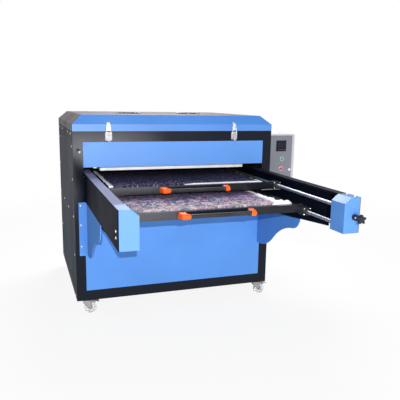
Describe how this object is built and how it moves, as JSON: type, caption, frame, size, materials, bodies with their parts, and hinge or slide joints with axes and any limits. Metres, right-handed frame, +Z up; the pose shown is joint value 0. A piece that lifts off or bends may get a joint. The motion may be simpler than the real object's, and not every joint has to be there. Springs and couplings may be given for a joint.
{
  "type": "pneumatic heat press",
  "caption": "Floor-standing pneumatic heat press: framed cabinet with a hinged lid, sliding trays on arms in front and a side control box, on swivel casters.",
  "frame": {"origin": "on the floor, in the middle of the footprint's bounding box", "axes": "+Z up, +Y from the trays to the back of the cabinet, +X to the side with the control box"},
  "size_m": [1.496, 2.248, 1.2572],
  "materials": {
    "air_cylinders": "anodised",
    "air_valve": "anodised",
    "arm_brackets": "blue powder coat",
    "arm_caps": "blue powder coat",
    "arm_left": "black powder coat",
    "arm_right": "black powder coat",
    "brake_pedal_front_left": "red paint",
    "brake_pedal_front_right": "red paint",
    "button_bezels": "plated",
    "cable_gland": "moulded",
    "caster_fork_front_left": "zinc plated",
    "caster_fork_front_right": "zinc plated",
    "caster_fork_rear_left": "zinc plated",
    "caster_fork_rear_right": "zinc plated",
    "caster_plates": "zinc plated",
    "caster_wheel_front_left": "moulded",
    "caster_wheel_front_right": "moulded",
    "caster_wheel_rear_left": "moulded",
    "caster_wheel_rear_right": "moulded",
    "control_box": "grey powder coat",
    "control_door": "grey powder coat",
    "door_lock": "plated",
    "fan_guards": "black wire guard",
    "frame": "black powder coat",
    "front_apron": "blue powder coat",
    "front_panel": "blue powder coat",
    "heat_platen": "milled",
    "impeller_left": "moulded",
    "impeller_right": "moulded",
    "latch_bases": "plated",
    "latch_catches": "plated",
    "latch_lever_left": "plated",
    "latch_lever_right": "plated",
    "latch_loop_left": "plated wire",
    "latch_loop_right": "plated wire",
    "lid_cover": "black powder coat",
    "lid_front": "blue powder coat",
    "lid_hinges": "black powder coat",
    "lower_cloth": "patterned woven cover",
    "lower_felt": "felt",
    "lower_handle": "moulded ends on a dark tube",
    "lower_slide_blocks": "machined",
    "lower_tray": "dark painted tube",
    "piston_rods": "ground and hard chromed",
    "platen_casing": "bare sheet",
    "press_beams": "black paint",
    "press_bed": "black paint",
    "rear_panel": "black powder coat",
    "side_panel_left": "black powder coat",
    "side_panel_right": "black powder coat",
    "slide_rods": "ground and hard chromed",
    "star_knob": "moulded on a steel stud",
    "start_button": "moulded",
    "stop_button": "moulded",
    "temperature_controller": "moulded",
    "upper_cloth": "woven cover",
    "upper_felt": "felt",
    "upper_handle": "moulded ends on a dark tube",
    "upper_slide_blocks": "machined",
    "upper_tray": "dark painted tube"
  },
  "bodies": {
    "cabinet": {"frame": "frame", "front_panel": "front_panel", "front_apron": "front_apron", "rear_panel": "rear_panel", "side_panel_left": "side_panel_left", "side_panel_right": "side_panel_right", "lid_hinges": "lid_hinges", "arm_left": "arm_left", "arm_right": "arm_right", "arm_caps": "arm_caps", "arm_brackets": "arm_brackets", "slide_rods": "slide_rods", "air_cylinders": "air_cylinders", "press_beams": "press_beams", "press_bed": "press_bed", "control_box": "control_box", "latch_bases": "latch_bases", "caster_plates": "caster_plates", "air_valve": "air_valve", "cable_gland": "cable_gland"},
    "lid": {"lid_cover": "lid_cover", "lid_front": "lid_front", "fan_guards": "fan_guards", "latch_catches": "latch_catches"},
    "impeller_left": {"impeller_left": "impeller_left"},
    "impeller_right": {"impeller_right": "impeller_right"},
    "platen": {"heat_platen": "heat_platen", "platen_casing": "platen_casing", "piston_rods": "piston_rods"},
    "door": {"control_door": "control_door", "temperature_controller": "temperature_controller", "button_bezels": "button_bezels"},
    "start_button": {"start_button": "start_button"},
    "stop_button": {"stop_button": "stop_button"},
    "door_lock": {"door_lock": "door_lock"},
    "star_knob": {"star_knob": "star_knob"},
    "upper_tray": {"upper_tray": "upper_tray", "upper_felt": "upper_felt", "upper_cloth": "upper_cloth", "upper_slide_blocks": "upper_slide_blocks", "upper_handle": "upper_handle"},
    "lower_tray": {"lower_tray": "lower_tray", "lower_felt": "lower_felt", "lower_cloth": "lower_cloth", "lower_slide_blocks": "lower_slide_blocks", "lower_handle": "lower_handle"},
    "latch_lever_left": {"latch_lever_left": "latch_lever_left"},
    "latch_loop_left": {"latch_loop_left": "latch_loop_left"},
    "latch_lever_right": {"latch_lever_right": "latch_lever_right"},
    "latch_loop_right": {"latch_loop_right": "latch_loop_right"},
    "caster_fork_front_left": {"caster_fork_front_left": "caster_fork_front_left"},
    "caster_wheel_front_left": {"caster_wheel_front_left": "caster_wheel_front_left"},
    "brake_pedal_front_left": {"brake_pedal_front_left": "brake_pedal_front_left"},
    "caster_fork_front_right": {"caster_fork_front_right": "caster_fork_front_right"},
    "caster_wheel_front_right": {"caster_wheel_front_right": "caster_wheel_front_right"},
    "brake_pedal_front_right": {"brake_pedal_front_right": "brake_pedal_front_right"},
    "caster_fork_rear_left": {"caster_fork_rear_left": "caster_fork_rear_left"},
    "caster_wheel_rear_left": {"caster_wheel_rear_left": "caster_wheel_rear_left"},
    "caster_fork_rear_right": {"caster_fork_rear_right": "caster_fork_rear_right"},
    "caster_wheel_rear_right": {"caster_wheel_rear_right": "caster_wheel_rear_right"}
  },
  "joints": [
    {"name": "lid_hinge", "type": "hinge", "parent": "cabinet", "child": "lid", "pos_m": [-0.098, 1.108, 1.153], "axis": [-1, 0, 0], "range_deg": [0, 75]},
    {"name": "press_stroke", "type": "slide", "parent": "cabinet", "child": "platen", "axis": [0, 0, -1], "range_m": [0, 0.034]},
    {"name": "door_hinge", "type": "hinge", "parent": "cabinet", "child": "door", "pos_m": [0.556, 0.056, 0.92], "axis": [0, 0, -1], "range_deg": [0, 100]},
    {"name": "door_lock_turn", "type": "hinge", "parent": "door", "child": "door_lock", "pos_m": [0.715, 0.059, 0.887], "axis": [0, -1, 0], "range_deg": [0, 90]},
    {"name": "star_knob_turn", "type": "hinge", "parent": "cabinet", "child": "star_knob", "pos_m": [0.453, -1.124, 0.808], "axis": [0, -1, 0], "continuous": true},
    {"name": "start_button_press", "type": "slide", "parent": "door", "child": "start_button", "axis": [0, 1, 0], "range_m": [0, 0.004], "stiffness_N_per_m": 500, "springref_m": -0.002},
    {"name": "stop_button_press", "type": "slide", "parent": "door", "child": "stop_button", "axis": [0, 1, 0], "range_m": [0, 0.004], "stiffness_N_per_m": 500, "springref_m": -0.002},
    {"name": "impeller_left_spin", "type": "hinge", "parent": "lid", "child": "impeller_left", "pos_m": [-0.321, 0.5, 1.252], "axis": [0, 0, 1], "continuous": true},
    {"name": "impeller_right_spin", "type": "hinge", "parent": "lid", "child": "impeller_right", "pos_m": [0.125, 0.5, 1.252], "axis": [0, 0, 1], "continuous": true},
    {"name": "upper_tray_slide", "type": "slide", "parent": "cabinet", "child": "upper_tray", "axis": [0, -1, 0], "range_m": [-0.32, 0.62]},
    {"name": "lower_tray_slide", "type": "slide", "parent": "cabinet", "child": "lower_tray", "axis": [0, -1, 0], "range_m": [-0.68, 0.26]},
    {"name": "latch_lever_left_swing", "type": "hinge", "parent": "cabinet", "child": "latch_lever_left", "pos_m": [-0.535, 0.022, 1.128], "axis": [-1, 0, 0], "range_deg": [0, 120]},
    {"name": "latch_loop_left_swing", "type": "hinge", "parent": "latch_lever_left", "child": "latch_loop_left", "pos_m": [-0.535, 0.022, 1.117], "axis": [-1, 0, 0], "range_deg": [-112, 0]},
    {"name": "latch_lever_right_swing", "type": "hinge", "parent": "cabinet", "child": "latch_lever_right", "pos_m": [0.282, 0.022, 1.128], "axis": [-1, 0, 0], "range_deg": [0, 120]},
    {"name": "latch_loop_right_swing", "type": "hinge", "parent": "latch_lever_right", "child": "latch_loop_right", "pos_m": [0.282, 0.022, 1.117], "axis": [-1, 0, 0], "range_deg": [-112, 0]},
    {"name": "caster_front_left_swivel", "type": "hinge", "parent": "cabinet", "child": "caster_fork_front_left", "pos_m": [-0.69, 0.075, 0.0895], "axis": [0, 0, 1], "continuous": true},
    {"name": "caster_front_left_roll", "type": "hinge", "parent": "caster_fork_front_left", "child": "caster_wheel_front_left", "pos_m": [-0.662, 0.075, 0.0375], "axis": [0, 1, 0], "continuous": true},
    {"name": "brake_front_left_press", "type": "hinge", "parent": "caster_fork_front_left", "child": "brake_pedal_front_left", "pos_m": [-0.638, 0.075, 0.074], "axis": [0, 1, 0], "range_deg": [0, 20]},
    {"name": "caster_front_right_swivel", "type": "hinge", "parent": "cabinet", "child": "caster_fork_front_right", "pos_m": [0.494, 0.075, 0.0895], "axis": [0, 0, 1], "continuous": true},
    {"name": "caster_front_right_roll", "type": "hinge", "parent": "caster_fork_front_right", "child": "caster_wheel_front_right", "pos_m": [0.522, 0.075, 0.0375], "axis": [0, 1, 0], "continuous": true},
    {"name": "brake_front_right_press", "type": "hinge", "parent": "caster_fork_front_right", "child": "brake_pedal_front_right", "pos_m": [0.546, 0.075, 0.074], "axis": [0, 1, 0], "range_deg": [0, 20]},
    {"name": "caster_rear_left_swivel", "type": "hinge", "parent": "cabinet", "child": "caster_fork_rear_left", "pos_m": [-0.69, 1.055, 0.0895], "axis": [0, 0, 1], "continuous": true},
    {"name": "caster_rear_left_roll", "type": "hinge", "parent": "caster_fork_rear_left", "child": "caster_wheel_rear_left", "pos_m": [-0.66706, 1.07106, 0.0375], "axis": [-0.5736, 0.8192, 0], "continuous": true},
    {"name": "caster_rear_right_swivel", "type": "hinge", "parent": "cabinet", "child": "caster_fork_rear_right", "pos_m": [0.494, 1.055, 0.0895], "axis": [0, 0, 1], "continuous": true},
    {"name": "caster_rear_right_roll", "type": "hinge", "parent": "caster_fork_rear_right", "child": "caster_wheel_rear_right", "pos_m": [0.52031, 1.04542, 0.0375], "axis": [0.342, 0.9397, 0], "continuous": true}
  ],
  "couplings": [
    {"joint": "latch_loop_left_swing", "follows": "latch_lever_left_swing", "ratio": -0.9295},
    {"joint": "latch_loop_right_swing", "follows": "latch_lever_right_swing", "ratio": -0.9295}
  ]
}
